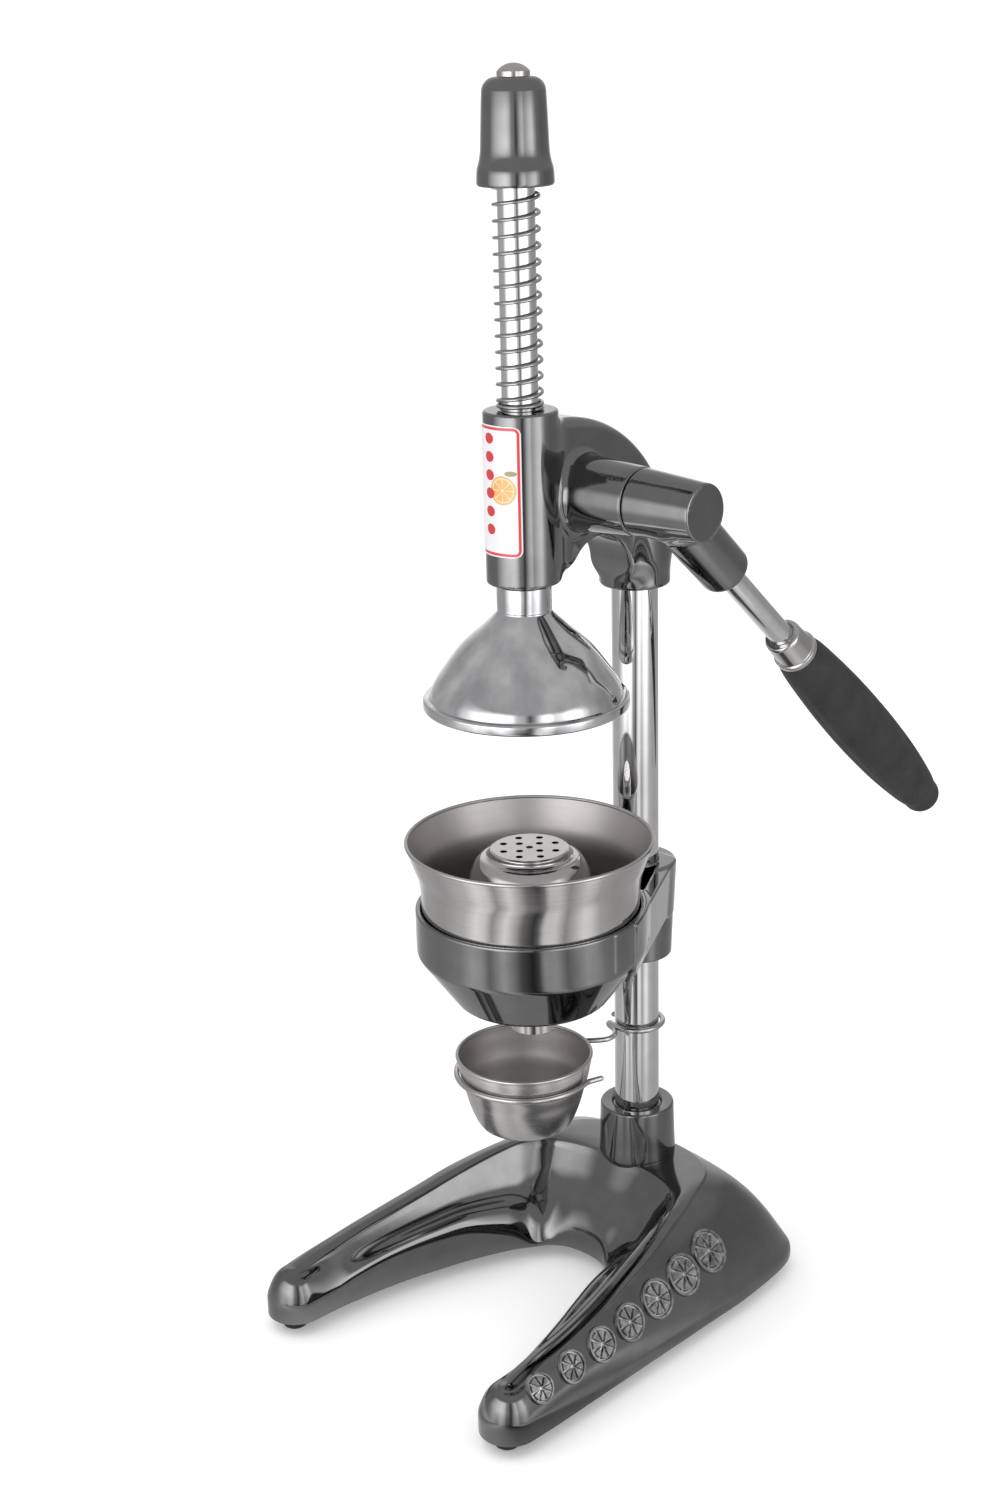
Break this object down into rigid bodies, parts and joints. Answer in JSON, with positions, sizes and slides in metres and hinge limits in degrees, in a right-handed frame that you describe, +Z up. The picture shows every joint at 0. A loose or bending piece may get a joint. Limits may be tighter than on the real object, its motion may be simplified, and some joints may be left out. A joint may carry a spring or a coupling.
{
  "type": "citrus press juicer",
  "caption": "Manual citrus press: a lever and pinion drive a rack ram and bell onto a reamer in a bowl, on a column over a horseshoe base.",
  "frame": {"origin": "on the surface it stands on, at the middle of the box that the press takes up", "axes": "+Z up along the column, -Y the front where the legs point, +X the side of the lever"},
  "size_m": [0.1942, 0.3889, 0.6591],
  "materials": {
    "nickel_base": "dark nickel plate, glossy",
    "nickel_head": "dark nickel plate, glossy",
    "chrome": "polished chrome",
    "stainless": "satin spun stainless",
    "steel": "machined steel",
    "black_screw": "black oxide",
    "bronze": "sintered bronze",
    "rubber_black": "matt rubber",
    "rubber_grip": "matt rubber",
    "label": "glossy printed film"
  },
  "bodies": {
    "stand": {"base_casting": "nickel_base", "rubber_feet": "rubber_black", "foot_screws": "steel", "column_tube": "chrome", "socket_set_screw": "black_screw", "head_casting": "nickel_head", "head_set_screw": "black_screw", "shaft_bush": "bronze", "gear_cover": "nickel_head", "cover_screws": "steel", "front_label": "label", "return_spring": "chrome", "bowl_holder": "nickel_head", "holder_set_screw": "black_screw"},
    "ram": {"ram_rod": "chrome", "ram_cap": "nickel_head", "cap_nut": "chrome", "press_bell": "chrome", "bell_screw": "steel"},
    "lever": {"pinion_gear": "steel", "pinion_shaft": "steel", "gear_key": "steel", "shaft_clip": "steel", "lever_hub": "nickel_head", "hub_set_screw": "black_screw", "lever_rod": "chrome", "grip_ferrule": "chrome", "lever_grip": "rubber_grip"},
    "bowl": {"juice_bowl": "stainless"},
    "strainer": {"strainer_cone": "stainless"},
    "bracket": {"cup_bracket": "stainless"},
    "cup": {"drip_cup": "stainless"}
  },
  "joints": [
    {"name": "lever_turn", "type": "hinge", "parent": "stand", "child": "lever", "pos_m": [0, -0.043, 0.4535], "axis": [1, 0, 0], "range_deg": [0, 245.5]},
    {"name": "ram_slide", "type": "slide", "parent": "stand", "child": "ram", "axis": [0, 0, -1], "range_m": [0, 0.09], "stiffness_N_per_m": 350, "springref_m": -0.05, "deforming": ["return_spring"]},
    {"name": "bowl_lift", "type": "slide", "parent": "stand", "child": "bowl", "axis": [0, 0, 1], "range_m": [0, 0.015]},
    {"name": "strainer_lift", "type": "slide", "parent": "bowl", "child": "strainer", "axis": [0, 0, 1], "range_m": [0, 0.008]},
    {"name": "cup_swing", "type": "hinge", "parent": "stand", "child": "bracket", "pos_m": [0, 0.0145, 0.138], "axis": [0, 0, 1], "continuous": true},
    {"name": "cup_lift", "type": "slide", "parent": "bracket", "child": "cup", "axis": [0, 0, 1], "range_m": [0, 0.012]}
  ],
  "couplings": [
    {"joint": "ram_slide", "follows": "lever_turn", "m_per_rad": 0.021}
  ]
}
